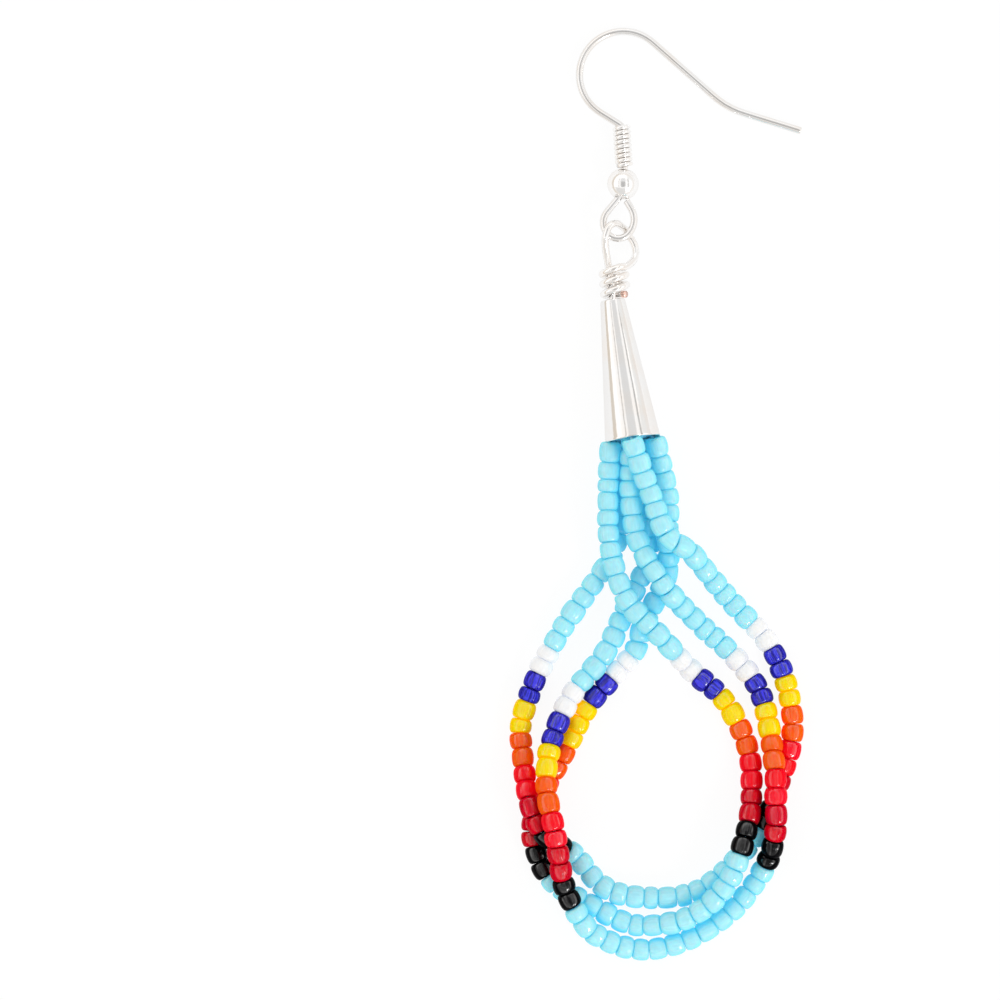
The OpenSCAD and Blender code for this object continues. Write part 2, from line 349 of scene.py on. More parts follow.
def silver_plate(name):
    """Bright silver plate, drawn and barrel polished: a mirror with the softest haze, slight
    warmth in patches, and scratches that only break the long reflections a little."""
    plate, wear, haze = SILVER_PLATES[name]
    clean = tuple(getattr(colours(), plate))
    warmed = tuple(a * b for a, b in zip(clean, colours().silver_warmth))
    material, tree, output = new_material(name)
    place = add(tree, "ShaderNodeTexCoord").outputs["Object"]
    # Patches about 2.5 mm across, waves of the drawn wire about 0.8 mm, and polishing marks, which
    # are 0.12 mm wide because real ones are too fine to show
    patches = add(tree, "ShaderNodeTexNoise", {"Vector": place, "Scale": 400.0, "Detail": 3.0})
    waves = add(tree, "ShaderNodeTexNoise", {"Vector": place, "Scale": 1200.0, "Detail": 1.0})
    marks = add(tree, "ShaderNodeTexNoise", {"Vector": place, "Scale": 8000.0, "Detail": 2.0})
    worn = ramp(tree, patches.outputs["Fac"], ((wear, grey(0)), (wear + WEAR_EDGE, grey(1))))
    colour = add(tree, "ShaderNodeMix", {0: worn, 6: clean, 7: warmed}, data_type="RGBA")
    rough = add(
        tree, "ShaderNodeMapRange",
        {
            "Value": marks.outputs["Fac"], "From Min": 0.3, "From Max": 0.7,
            "To Min": haze, "To Max": haze + MARK_ROUGHNESS,
        },
    )
    height = add(
        tree, "ShaderNodeMath", {0: marks.outputs["Fac"], 1: 0.4, 2: waves.outputs["Fac"]},
        operation="MULTIPLY_ADD",
    )
    bump = add(
        tree, "ShaderNodeBump",
        {"Height": height.outputs[0], "Strength": 0.25, "Distance": 0.00002},
    )
    shader = add(
        tree, "ShaderNodeBsdfPrincipled",
        {
            "Base Color": colour.outputs[2], "Metallic": 1.0, "Specular Tint": RIM_TINT,
            "Roughness": rough.outputs["Result"], "Normal": bump.outputs["Normal"],
        },
    )
    tree.links.new(shader.outputs[0], output.inputs["Surface"])
    return material


def cut_copper(name):
    """Bare copper core at the cut end of the plated wire: pinkish, and dull from the cutters."""
    material, tree, output = new_material(name)
    place = add(tree, "ShaderNodeTexCoord").outputs["Object"]
    # Shear marks, 0.08 mm apart because real ones are too fine to show
    shear = add(tree, "ShaderNodeTexNoise", {"Vector": place, "Scale": 12000.0, "Detail": 2.0})
    rough = add(
        tree, "ShaderNodeMapRange",
        {"Value": shear.outputs["Fac"], "To Min": 0.2, "To Max": 0.45},
    )
    bump = add(
        tree, "ShaderNodeBump",
        {"Height": shear.outputs["Fac"], "Strength": 0.4, "Distance": 0.00002},
    )
    shader = add(
        tree, "ShaderNodeBsdfPrincipled",
        {
            "Base Color": tuple(colours().copper), "Metallic": 1.0,
            "Roughness": rough.outputs["Result"], "Normal": bump.outputs["Normal"],
        },
    )
    tree.links.new(shader.outputs[0], output.inputs["Surface"])
    return material


def bead_glass(name, colour, depth, streaks, painted_glow_strength):
    """Opaque pressed glass, cut from a drawn cane and tumbled: a wet gloss, faint lines along the
    hole from the drawing, and a colour that differs a little from bead to bead. Its colour also has
    painted shade between and under beads and towards their edges, and a painted glow in that shade."""
    material, tree, output = new_material(name)
    tone = add(tree, "ShaderNodeAttribute", attribute_name="bead_tone", attribute_type="GEOMETRY")
    local = add(tree, "ShaderNodeAttribute", attribute_name="bead_place", attribute_type="GEOMETRY")
    # The cane's lines: 0.2 mm apart round the bead and 2 mm long
    stretched = add(
        tree, "ShaderNodeMapping", {"Vector": local.outputs["Vector"], "Scale": (5.0, 5.0, 0.5)}
    )
    lines = add(
        tree, "ShaderNodeTexNoise",
        {"Vector": stretched.outputs["Vector"], "Scale": 1.0, "Detail": 2.0},
    )
    # Clouds in the glass about 0.7 mm across
    clouds = add(
        tree, "ShaderNodeTexNoise", {"Vector": local.outputs["Vector"], "Scale": 1.4, "Detail": 2.0}
    )
    # The cane's ridges, 0.35 mm apart, between which the polish doesn't reach
    broad = add(
        tree, "ShaderNodeMapping", {"Vector": local.outputs["Vector"], "Scale": (2.9, 2.9, 0.2)}
    )
    ridges = add(
        tree, "ShaderNodeTexNoise", {"Vector": broad.outputs["Vector"], "Scale": 1.0, "Detail": 1.0}
    )
    polish = add(
        tree, "ShaderNodeMapRange",
        {
            "Value": ridges.outputs["Fac"], "From Min": 0.43, "From Max": 0.56,
            "To Min": 0.25, "To Max": 1.0,
        },
    )
    shift = add(
        tree, "ShaderNodeMapRange",
        {"Value": tone.outputs["Fac"], "To Min": 0.4985, "To Max": 0.5015},
    )
    value = add(
        tree, "ShaderNodeMapRange",
        {
            "Value": clouds.outputs["Fac"], "From Min": 0.3, "From Max": 0.7,
            "To Min": 0.95, "To Max": 1.04,
        },
    )
    tinted = add(
        tree, "ShaderNodeHueSaturation",
        {"Hue": shift.outputs["Result"], "Value": value.outputs["Result"], "Color": colour},
    )
    # The cane's lines also pull the colour in streaks towards the painted shade colour
    streak = add(
        tree, "ShaderNodeMapRange",
        {
            "Value": lines.outputs["Fac"], "From Min": 0.42, "From Max": 0.58,
            "To Min": 1 - streaks, "To Max": 1.0,
        },
    )
    # Painted shade: where other beads or the table are near, between beads and under them, the
    # colour
    #     turns to the darker painted shade colour
    painted_shade_ao = add(
        tree, "ShaderNodeAmbientOcclusion", {"Distance": 0.0016}, samples=4, only_local=False
    )
    unshaded_share = add(
        tree, "ShaderNodeMapRange",
        {"Value": painted_shade_ao.outputs["AO"], "From Min": 0.22, "From Max": 0.85},
    )
    # Painted shade: the colour also darkens towards the bead's edges, where the surface turns away
    # from the eye
    facing = add(tree, "ShaderNodeLayerWeight", {"Blend": 0.5}).outputs["Facing"]
    rim = add(
        tree, "ShaderNodeMapRange",
        {"Value": facing, "From Min": 0.2, "From Max": 0.7, "To Min": 1.0, "To Max": 0.3},
    )
    shown = unshaded_share.outputs["Result"]
    for share in (rim.outputs["Result"], streak.outputs["Result"]):
        shown = add(tree, "ShaderNodeMath", {0: shown, 1: share}, operation="MULTIPLY").outputs[0]
    deep = add(
        tree, "ShaderNodeMix", {0: shown, 6: depth, 7: tinted.outputs["Color"]}, data_type="RGBA"
    )
    # A painted glow: the sheltered places give off light in the painted shade colour, which lifts
    # the
    #     painted shade of pale glass
    painted_glow = add(
        tree, "ShaderNodeMix",
        {0: unshaded_share.outputs["Result"], 6: depth, 7: (0, 0, 0, 1)}, data_type="RGBA",
    )
    rough = add(
        tree, "ShaderNodeMapRange",
        {
            "Value": lines.outputs["Fac"], "From Min": 0.3, "From Max": 0.7,
            "To Min": 0.03, "To Max": 0.1,
        },
    )
    bump = add(
        tree, "ShaderNodeBump",
        {"Height": lines.outputs["Fac"], "Strength": 0.7, "Distance": 0.00006},
    )
    # The bead's flat of polish ends in a bright edge, and beyond it the glass shows its depth
    flat = ramp(
        tree, facing,
        ((0.08, grey(0.38)), (0.135, grey(0.72)), (0.19, grey(0.72)), (0.23, grey(0.02))),
    )
    gloss = add(
        tree, "ShaderNodeMath", {0: flat, 1: polish.outputs["Result"]}, operation="MULTIPLY"
    )
    shader = add(
        tree, "ShaderNodeBsdfPrincipled",
        {
            "Base Color": deep.outputs[2], "Roughness": rough.outputs["Result"],
            "IOR": 1.7, "Specular IOR Level": gloss.outputs[0], "Normal": bump.outputs["Normal"],
            "Subsurface Weight": 0.6, "Subsurface Scale": 0.001, "Subsurface Radius": depth[:3],
            "Emission Color": painted_glow.outputs[2], "Emission Strength": painted_glow_strength,
        },
    )
    tree.links.new(shader.outputs[0], output.inputs["Surface"])
    return material


def beading_thread(name):
    """Bonded nylon thread, waxed: pale, soft, with the twist of its plies just showing."""
    material, tree, output = new_material(name)
    place = add(tree, "ShaderNodeTexCoord").outputs["Object"]
    # Plies about 0.15 mm wide, and fibres, 0.04 mm wide because real ones are too fine to show
    plies = add(
        tree, "ShaderNodeTexWave",
        {"Vector": place, "Scale": 1100.0, "Distortion": 2.0, "Detail": 1.0},
        bands_direction="DIAGONAL",
    )
    fibres = add(tree, "ShaderNodeTexNoise", {"Vector": place, "Scale": 25000.0, "Detail": 2.0})
    height = add(
        tree, "ShaderNodeMath", {0: plies.outputs["Fac"], 1: fibres.outputs["Fac"]}, operation="ADD"
    )
    light = tuple(colours().thread)
    shade = add(
        tree, "ShaderNodeMix",
        {0: plies.outputs["Fac"], 6: darker(light, 0.8), 7: light}, data_type="RGBA",
    )
    bump = add(
        tree, "ShaderNodeBump", {"Height": height.outputs[0], "Strength": 0.6, "Distance": 0.00004}
    )
    shader = add(
        tree, "ShaderNodeBsdfPrincipled",
        {
            "Base Color": shade.outputs[2], "Roughness": 0.6, "Sheen Weight": 0.3,
            "Normal": bump.outputs["Normal"],
        },
    )
    tree.links.new(shader.outputs[0], output.inputs["Surface"])
    return material


def white_card(name):
    """Matt white card, as a photographer's table top: even, with the faintest grain."""
    material, tree, output = new_material(name)
    place = add(tree, "ShaderNodeTexCoord").outputs["Object"]
    # Paper grain, 1 mm across because the real one is too fine to show
    grain = add(tree, "ShaderNodeTexNoise", {"Vector": place, "Scale": 1000.0, "Detail": 2.0})
    light = tuple(colours().table)
    tint = ramp(tree, grain.outputs["Fac"], ((0.3, darker(light, 0.98)), (0.7, light)))
    shader = add(
        tree, "ShaderNodeBsdfPrincipled",
        {
            "Base Color": tint, "Roughness": 0.9, "Specular IOR Level": 0.2,
            "Emission Color": (1, 1, 1, 1), "Emission Strength": TABLE_GLOW,
        },
    )
    tree.links.new(shader.outputs[0], output.inputs["Surface"])
    return material


def shared(name, maker, *details):
    """A material by name, made the first time it is asked for."""
    return bpy.data.materials.get(name) or maker(name, *details)


def finish_piece(name, shape, materials, node):
    """Turns a bmesh into a piece that takes a CAD node's place."""
    bmesh.ops.recalc_face_normals(shape, faces=shape.faces[:])
    # A drilled ball can come out inside out
    if shape.calc_volume(signed=True) < 0:
        bmesh.ops.reverse_faces(shape, faces=shape.faces[:])
    mesh = bpy.data.meshes.new(name)
    shape.to_mesh(mesh)
    shape.free()
    for material in materials:
        mesh.materials.append(material)
    mesh.shade_smooth()
    piece = bpy.data.objects.new(name, mesh)
    bpy.context.scene.collection.objects.link(piece)
    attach(piece, BODY)
    if node:
        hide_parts(node)
    return piece


def only(kind, geometry):
    """The vertices, edges or faces of what an operator returned."""
    return [g for g in geometry if isinstance(g, kind)]


def run_start(row):
    """Place and heading on the flat hook at the start of a row of its run, in mm and degrees."""
    at, heading = Vector((0, 0, 0)), HOOK_HEADING
    for length, turn in HOOK_RUN[:row]:
        a = math.radians(heading)
        if turn:
            r = length / math.radians(turn)
            b = math.radians(heading + turn)
            at += Vector((r * (math.sin(b) - math.sin(a)), r * (math.cos(a) - math.cos(b)), 0))
        else:
            at += length * Vector((math.cos(a), math.sin(a), 0))
        heading += turn
    return at, heading


def hook_plane():
    """The hook's own plane, tilted about the line along which it touches the table."""
    a = math.radians(HOOK_REST_LINE)
    tilt = Matrix.Rotation(math.radians(HOOK_TILT), 4, Vector((math.cos(a), math.sin(a), 0)))
    return Matrix.Scale(MM, 4) @ Matrix.Translation(HOOK_END) @ tilt


def on_hook(row):
    """From +X at the origin, in mm, to the start of a row of the hook, in metres."""
    at, heading = run_start(row)
    return hook_plane() @ Matrix.Translation(at) @ Matrix.Rotation(math.radians(heading), 4, "Z")


def aimed(start, end):
    """From +Z at the origin, in mm, to the line from one point to another, in metres."""
    turn = (end - start).to_track_quat("Z", "Y").to_matrix().to_4x4()
    return Matrix.Scale(MM, 4) @ Matrix.Translation(start) @ turn


def turned_shape(outline, steps, closed=True):
    """A bmesh turned round Z from an outline of (radius, height) in mm. An outline that isn't
    closed runs from axis to axis."""
    shape = bmesh.new()
    corners = [shape.verts.new((r, 0, z)) for r, z in outline]
    after = corners[1:] + corners[:1] if closed else corners[1:]
    edges = [shape.edges.new((a, b)) for a, b in zip(corners, after)]
    bmesh.ops.spin(
        shape, geom=corners + edges, cent=(0, 0, 0), axis=(0, 0, 1), angle=math.tau,
        steps=steps, use_merge=True,
    )
    return shape


def round_corner(centre, radius, start, end, steps):
    """Points of an arc of an outline, its angles in degrees from the radial direction."""
    return [
        (
            centre[0] + radius * math.cos(math.radians(start + (end - start) * k / steps)),
            centre[1] + radius * math.sin(math.radians(start + (end - start) * k / steps)),
        )
        for k in range(steps + 1)
    ]


def smooth_at(rows, number):
    """A smooth curve through rows of (number, x, y, lift), read at any number along it."""
    last = len(rows) - 1
    i = max(k for k in range(last) if rows[k][0] <= number or k == 0)
    points = [Vector(row[1:]) for row in rows]

    def slope(k):
        """How the curve rises through a row, from the rows on either side of it."""
        low, high = max(k - 1, 0), min(k + 1, last)
        return (points[high] - points[low]) / (rows[high][0] - rows[low][0])

    span = rows[i + 1][0] - rows[i][0]
    t = (number - rows[i][0]) / span
    return (
        points[i] * (2 * t**3 - 3 * t**2 + 1)
        + slope(i) * span * (t**3 - 2 * t**2 + t)
        + points[i + 1] * (3 * t**2 - 2 * t**3)
        + slope(i + 1) * span * (t**3 - t**2)
    )


def wire_along(name, points, radius, sides):
    """A round wire along smooth points in metres, as a bmesh."""
    curve = bpy.data.curves.new(name, "CURVE")
    curve.dimensions = "3D"
    curve.bevel_depth = radius
    curve.bevel_resolution = sides // 4 - 1
    curve.use_fill_caps = True
    curve.resolution_u = 5
    spline = curve.splines.new("BEZIER")
    spline.bezier_points.add(len(points) - 1)
    for target, point in zip(spline.bezier_points, points):
        target.co = point
        target.handle_left_type = target.handle_right_type = "AUTO"
    holder = bpy.data.objects.new(name, curve)
    mesh = bpy.data.meshes.new_from_object(holder)
    bpy.data.objects.remove(holder)
    shape = bmesh.new()
    shape.from_mesh(mesh)
    bpy.data.meshes.remove(mesh)
    bmesh.ops.remove_doubles(shape, verts=shape.verts[:], dist=1e-7)
    return shape


class EARRING_OT_hook(bpy.types.Operator):
    """Bends the ear wire from its free tail round the arch to the open eye."""

    bl_idname = "earring.hook"
    bl_label = "Ear hook"

    def execute(self, context):
        radius = sizes().hook_wire / MM / 2
        end_radius = radius - HOOK_EDGE
        heading = math.radians(HOOK_HEADING)
        face_on = Matrix.Rotation(heading, 4, "Z") @ Matrix.Rotation(math.pi / 2, 4, "Y")
        shape = bmesh.new()
        bmesh.ops.create_circle(
            shape, cap_ends=True, segments=HOOK_SIDES, radius=end_radius, matrix=face_on
        )
        shape.faces.ensure_lookup_table()
        front = shape.faces[0]

        def push(face, step, grow):
            """Extrudes the front face forwards and grows it."""
            made = bmesh.ops.extrude_face_region(shape, geom=[face, *face.edges, *face.verts])
            ahead = only(bmesh.types.BMFace, made["geom"])[0]
            bmesh.ops.translate(shape, vec=step, verts=ahead.verts[:])
            middle = ahead.calc_center_median()
            bmesh.ops.scale(
                shape, vec=(grow, grow, grow), space=Matrix.Translation(-middle),
                verts=ahead.verts[:],
            )
            return ahead

        direction = Vector((math.cos(heading), math.sin(heading), 0))
        # The free end is filed round, so that it passes the ear
        turns = [math.radians(a) for a in EDGE_ANGLES]
        rings = [
            (end_radius + HOOK_EDGE * math.sin(a), HOOK_EDGE * (1 - math.cos(a))) for a in turns
        ]
        for (was, back), (now, ahead) in zip(rings, rings[1:]):
            front = push(front, direction * (ahead - back), now / was)
        # A ring close behind keeps the rounding's shading off the straight tail
        start = HOOK_EDGE * 2
        front = push(front, direction * HOOK_EDGE, 1)
        for length, turn in HOOK_RUN:
            direction = Vector((math.cos(heading), math.sin(heading), 0))
            if turn:
                bend = length / math.radians(turn)
                centre = front.calc_center_median() + bend * Vector((-direction.y, direction.x, 0))
                done = bmesh.ops.spin(
                    shape, geom=[front, *front.edges, *front.verts], cent=centre, axis=(0, 0, 1),
                    angle=math.radians(turn), steps=max(BEND_RINGS, round(abs(turn) / BEND_STEP)),
                )
                front = only(bmesh.types.BMFace, done["geom_last"])[0]
            else:
                front = push(front, direction * (length - start), 1)
            start = 0
            heading += math.radians(turn)
        direction = Vector((math.cos(heading), math.sin(heading), 0))
        for (was, back), (now, ahead) in zip(rings[::-1], rings[-2::-1]):
            front = push(front, direction * (back - ahead), now / was)
        shape.transform(hook_plane())
        plate = shared("bright_silver_plate", silver_plate)
        finish_piece("ear_wire", shape, [plate], "ear_hook")
        return {"FINISHED"}


class EARRING_OT_coil(bpy.types.Operator):
    """Winds the thin wire round the shank as a close helix."""

    bl_idname = "earring.coil"
    bl_label = "Coil"

    def execute(self, context):
        wire = sizes().coil_wire / MM
        around = sizes().hook_wire / MM / 2 + COIL_PLAY + wire / 2
        pitch = wire + COIL_GAP
        shape = bmesh.new()
        bmesh.ops.create_circle(
            shape, cap_ends=True, segments=COIL_SIDES, radius=wire / 2,
            matrix=Matrix.Translation((around, 0, 0)) @ Matrix.Rotation(math.pi / 2, 4, "X"),
        )
        shape.faces.ensure_lookup_table()
        front = shape.faces[0]
        bmesh.ops.spin(
            shape, geom=[front, *front.edges, *front.verts], cent=(0, 0, 0), axis=(0, 0, 1),
            dvec=(0, 0, pitch / COIL_STEPS), angle=math.tau * COIL_TURNS,
            steps=round(COIL_STEPS * COIL_TURNS),
        )
        first = Matrix.Rotation(math.radians(COIL_FIRST), 4, "Z")
        shape.transform(
            on_hook(SHANK_ROW) @ Matrix.Translation((COIL_START, 0, 0))
            @ Matrix.Rotation(math.pi / 2, 4, "Y") @ first
        )
        plate = shared("pale_silver_plate", silver_plate)
        finish_piece("shank_coil", shape, [plate], "hook_coil")
        return {"FINISHED"}


class EARRING_OT_ball(bpy.types.Operator):
    """Turns the drilled ball below the coil."""

    bl_idname = "earring.ball"
    bl_label = "Ball"

    def execute(self, context):
        radius = sizes().ball / MM / 2
        hole = sizes().hook_wire / MM / 2 + BALL_PLAY
        reach = math.sqrt(radius**2 - (hole + BALL_LIP) ** 2)
        tip = math.degrees(math.atan2(reach, hole + BALL_LIP))
        outline = round_corner((0, 0), radius, -tip, tip, steps=26)
        outline += [(hole + out, reach - deep) for out, deep in BALL_LIP_STEPS]
        outline += [(hole + out, deep - reach) for out, deep in reversed(BALL_LIP_STEPS)]
        shape = turned_shape(outline, steps=48)
        turn = Matrix.Rotation(math.radians(BALL_TURN), 4, "Z")
        shape.transform(
            on_hook(SHANK_ROW + 1) @ turn @ Matrix.Translation((radius, 0, 0))
            @ turn @ Matrix.Rotation(math.pi / 2, 4, "Y")
        )
        plate = shared("pale_silver_plate", silver_plate)
        finish_piece("shank_ball", shape, [plate], "hook_ball")
        return {"FINISHED"}


class EARRING_OT_drop(bpy.types.Operator):
    """Bends the drop wire through the hook's eye and wraps its tail round its stem."""

    bl_idname = "earring.drop"
    bl_label = "Drop wire"

    def execute(self, context):
        along = (WRAP_TO - WRAP_FROM).normalized()
        points = [Vector(p) for p in DROP_ROUTE]
        for k in range(WRAP_FIRST, WRAP_LAST + 1):
            middle = WRAP_FROM + along * WRAP_PITCH * k / WRAP_STEPS
            across, up = math.cos(math.tau * k / WRAP_STEPS), math.sin(math.tau * k / WRAP_STEPS)
            points.append(middle + Vector((WRAP_R * across, WRAP_LEAN * across, WRAP_R * up)))
        tip = points[-1] * MM
        route = [p * MM for p in points]
        shape = wire_along("drop_wire_curve", route, sizes().drop_wire / 2, DROP_SIDES)
        forwards = (points[-1] - points[-3]).normalized()
        for face in shape.faces:
            from_tip = (face.calc_center_median() - tip) / sizes().drop_wire
            bare = from_tip.length < BARE_REACH and from_tip.dot(forwards) > -BARE_LENGTH
            face.material_index = 1 if bare else 0
        finish_piece(
            "wrapped_drop", shape,
            [shared("silver_plated_copper", silver_plate), shared("cut_copper", cut_copper)],
            "drop_wire",
        )
        return {"FINISHED"}


class EARRING_OT_cone(bpy.types.Operator):
    """Spins the thin cone with a soft shoulder at its top and a rolled rim at its mouth."""

    bl_idname = "earring.cone"
    bl_label = "Cone"

    def execute(self, context):
        top, mouth = sizes().cone_top / MM / 2, sizes().cone_mouth / MM / 2
        wall, length = sizes().cone_wall / MM, (CONE_MOUTH - CONE_TOP).length
        slope = (mouth - top) / length
        outline = [(CONE_HOLE, CONE_HOLE_EDGE), (CONE_HOLE + CONE_HOLE_EDGE, 0)]
        shoulder = (top - CONE_SHOULDER, CONE_SHOULDER)
        outline += round_corner(shoulder, CONE_SHOULDER, -90, 0, steps=5)
        # Rings close to the shoulder and the rim keep the long wall's shading straight
        rings = (CONE_SHOULDER + 0.1, length * 0.33, length * 0.67, length - wall)
        outline += [(top + slope * z, z) for z in rings]
        rim = (mouth - wall / 2, length - wall / 2)
        outline += round_corner(rim, wall / 2, 0, 180, steps=8)
        inner_top = top - wall + slope * CONE_TOP_THICKNESS
        outline += [(inner_top, CONE_TOP_THICKNESS), (CONE_HOLE, CONE_TOP_THICKNESS)]
        shape = turned_shape(outline, steps=72)
        shape.transform(aimed(CONE_TOP, CONE_MOUTH))
        plate = shared("bright_silver_plate", silver_plate)
        finish_piece("cone_cap", shape, [plate], "cone")
        return {"FINISHED"}


class EARRING_OT_tie(bpy.types.Operator):
    """Packs the tied and waxed thread ends into the cone, with a domed end below its mouth."""

    bl_idname = "earring.tie"
    bl_label = "Thread tie"

    def execute(self, context):
        length = (CONE_MOUTH - CONE_TOP).length
        slope = (sizes().cone_mouth - sizes().cone_top) / MM / 2 / length
        skin = sizes().cone_top / MM / 2 - sizes().cone_wall / MM - TIE_GAP
        low, high = TIE_START, length - TIE_RECESS
        hole = sizes().drop_wire / MM / 2 + TIE_GAP
        end = skin + high * slope
        outline = [(0, STEM_DEPTH + TIE_GAP), (hole, STEM_DEPTH + TIE_GAP), (hole, low)]
        drawn_in, past = TIE_WAIST
        outline += [(skin + low * slope, low), (end - drawn_in, high - TIE_EDGE + past)]
        edge_middle = (end - TIE_EDGE, high - TIE_EDGE)
        outline += round_corner(edge_middle, TIE_EDGE, 0, TIE_EDGE_ANGLE, steps=6)
        share, lower = TIE_DOME_RING
        outline += [(end * share, high + TIE_DOME - lower), (0, high + TIE_DOME)]
        shape = turned_shape(outline, steps=40, closed=False)
        # The ends on the axis are turned into many points, which become one
        bmesh.ops.remove_doubles(shape, verts=shape.verts[:], dist=0.001)
        shape.transform(aimed(CONE_TOP, CONE_MOUTH))
        thread = shared("waxed_nylon_thread", beading_thread)
        finish_piece("thread_knot", shape, [thread], "thread_tie")
        return {"FINISHED"}


def bead_template(hole_share):
    """One seed bead as a cage, its rounded form 1 in radius and 1 in half its length."""
    grown = 1 / CAGE_SHARE
    profile = (
        (1.03, -0.34), (1.03, 0.34), (0.92, 0.92), (0.6, 1.08),
        (hole_share, 0.86), (hole_share, -0.86), (0.6, -1.08), (0.92, -0.92),
    )
    shape = turned_shape([(r * grown, z) for r, z in profile], steps=CAGE_SIDES)
    mesh = bpy.data.meshes.new("bead_cage")
    shape.to_mesh(mesh)
    shape.free()
    return mesh


def bead_order(bands):
    """The number in BEAD_COLOURS of each bead of a string, from its bands."""
    letters = [row[0] for row in BEAD_COLOURS]
    order = []
    for band in bands.split():
        order += [letters.index(band[-1])] * int(band[:-1])
    return order


def fit_cage(verts, radius, roundness, half, slopes):
    """Gives a bead's cage its size, and slants it from the plane on which it meets the bead before
    to the plane on which it meets the next."""
    for vert in verts:
        share = min(max(0.5 + vert.co.z / 2, 0), 1)
        slope = slopes[0].lerp(slopes[1], share)
        x, y = vert.co.x * radius, vert.co.y * radius * roundness
        z = vert.co.z * half - SLANT * (x * slope.x + y * slope.y) / slope.z
        vert.co = (x, y, z)


class EARRING_OT_loops(bpy.types.Operator):
    """Strings the three loops of seed beads, each on its thread."""

    bl_idname = "earring.loops"
    bl_label = "Bead loops"

    def execute(self, context):
        radius = sizes().bead_diameter / MM / 2
        cage = bead_template(sizes().bead_hole / sizes().bead_diameter)
        glasses = []
        # Each glass gets its colour, its painted shade colour, its streaks and the strength of its
        # painted glow
        for _, key, _, _, depth, streaks, painted_glow_strength in BEAD_COLOURS:
            look = (tuple(getattr(colours(), key)), linear(depth), streaks, painted_glow_strength)
            glasses.append(shared(f"{key}_glass", bead_glass, *look))
        for node, rows in LOOP_ROUTES.items():
            self.string(node, rows, cage, radius, glasses)
        bpy.data.meshes.remove(cage)
        return {"FINISHED"}

    def string(self, node, rows, cage, radius, glasses):
        """One loop of beads, end to end along its route, and then its thread."""
        chance = random.Random(LOOP_SEEDS[node])
        order = bead_order(LOOP_BANDS[node])
        count = len(order)
        cuts = [k - 0.5 + chance.uniform(-CUT_SPREAD, CUT_SPREAD) for k in range(count + 1)]
        cuts[0], cuts[-1] = -0.5 - MOUTH_REACH, count - 0.5 + MOUTH_REACH

        def place(number, bead_radius):
            """The middle of the string at a bead number."""
            x, y, lift = smooth_at(rows, number)
            return Vector((x, y, bead_radius + max(lift, 0)))

        shape = bmesh.new()
        tone = shape.verts.layers.float.new("bead_tone")
        local = shape.verts.layers.float_vector.new("bead_place")
        gap = sizes().bead_gap / MM

        def scatter(most):
            """A small random offset, up to the same distance each way."""
            return Vector([chance.uniform(-most, most) for _ in range(3)])

        ends = [place(cut, radius) + scatter(PLACE_SPREAD) for cut in cuts]
        # Each pair of neighbours meets on one plane, a little off square to the thread
        planes = [
            (place(cut + AIM_REACH, 0) - place(cut - AIM_REACH, 0)).normalized()
            + scatter(PLANE_SPREAD)
            for cut in cuts
        ]
        for k, glass in enumerate(order):
            in_neck = k < NECK_BEADS or k >= count - NECK_BEADS
            r = radius * chance.uniform(*RADIUS_RANGE) * (NECK_SHARE if in_neck else 1.0)
            axis = ends[k + 1] - ends[k]
            half = (axis.length - gap) / 2
            aim = axis.normalized() + scatter(TILT_SPREAD)
            turn = aim.to_track_quat("Z", "Y").to_matrix().to_4x4()
            turn @= Matrix.Rotation(chance.uniform(0, math.tau), 4, "Z")
            slopes = [turn.inverted().to_3x3() @ plane for plane in planes[k : k + 2]]
            round_off = chance.uniform(*ROUNDNESS_RANGE)
            own_tone = chance.random()
            offset = Vector([chance.uniform(0, PATTERN_SPREAD) for _ in range(3)])
            first_vert, first_face = len(shape.verts), len(shape.faces)
            shape.from_mesh(cage)
            shape.verts.ensure_lookup_table()
            shape.faces.ensure_lookup_table()
            own = shape.verts[first_vert:]
            fit_cage(own, r, round_off, half, slopes)
            for vert in own:
                vert[tone] = own_tone
                vert[local] = vert.co + offset
            for face in shape.faces[first_face:]:
                face.material_index = glass
            middle = (ends[k] + ends[k + 1]) / 2
            middle.z = max(middle.z, r * REST_SHARE)
            bmesh.ops.transform(
                shape, matrix=Matrix.Scale(MM, 4) @ Matrix.Translation(middle) @ turn, verts=own
            )
        name = node.replace("bead_loop", "bead_string")
        piece = finish_piece(name, shape, glasses, node)
        rounding = piece.modifiers.new("rounding", "SUBSURF")
        rounding.levels = rounding.render_levels = 2
        self.thread(name, [place(-0.5 + k, radius) for k in range(count + 1)])

    def thread(self, name, points):
        """The string's thread, its ends led up into the cone to the tie."""
        inward = (CONE_TOP - CONE_MOUTH).normalized()
        ends = []
        for point in (points[0], points[-1]):
            beside = point - CONE_MOUTH
            beside -= beside.dot(inward) * inward
            ends.append(
                [CONE_MOUTH + beside * share + inward * depth for share, depth in THREAD_INWARD]
            )
        route = ends[0][::-1] + points + ends[1]
        path = [p * MM for p in route]
        shape = wire_along(name + "_thread", path, sizes().thread / 2, THREAD_SIDES)
        thread = shared("waxed_nylon_thread", beading_thread)
        finish_piece(name + "_thread", shape, [thread], None)


# The photograph's frame is 95 mm wide and its middle lies left of the earring
VIEW_CENTRE = Vector((-14.77, -0.52, 0)) * MM
VIEW_WIDTH = 95 * MM
VIEW_DISTANCE = 1.0
# Half the side of the table top, in metres
TABLE_HALF = 3.0
# The light tent from the horizon up: its wall, the band where the lamps stand behind the cloth, and
# its roof, each from a height of 0 at the horizon to 1 overhead
TENT_WALL = (0.94, 0.91, 0.88, 1)
TENT_LAMPS = (1.27, 1.26, 1.25, 1)
TENT_ROOF = (1.13, 1.12, 1.11, 1)
TENT_BANDS = ((0.3, TENT_WALL), (0.33, TENT_LAMPS), (0.58, TENT_LAMPS), (0.64, TENT_ROOF))
TENT_LOWEST = 0.02
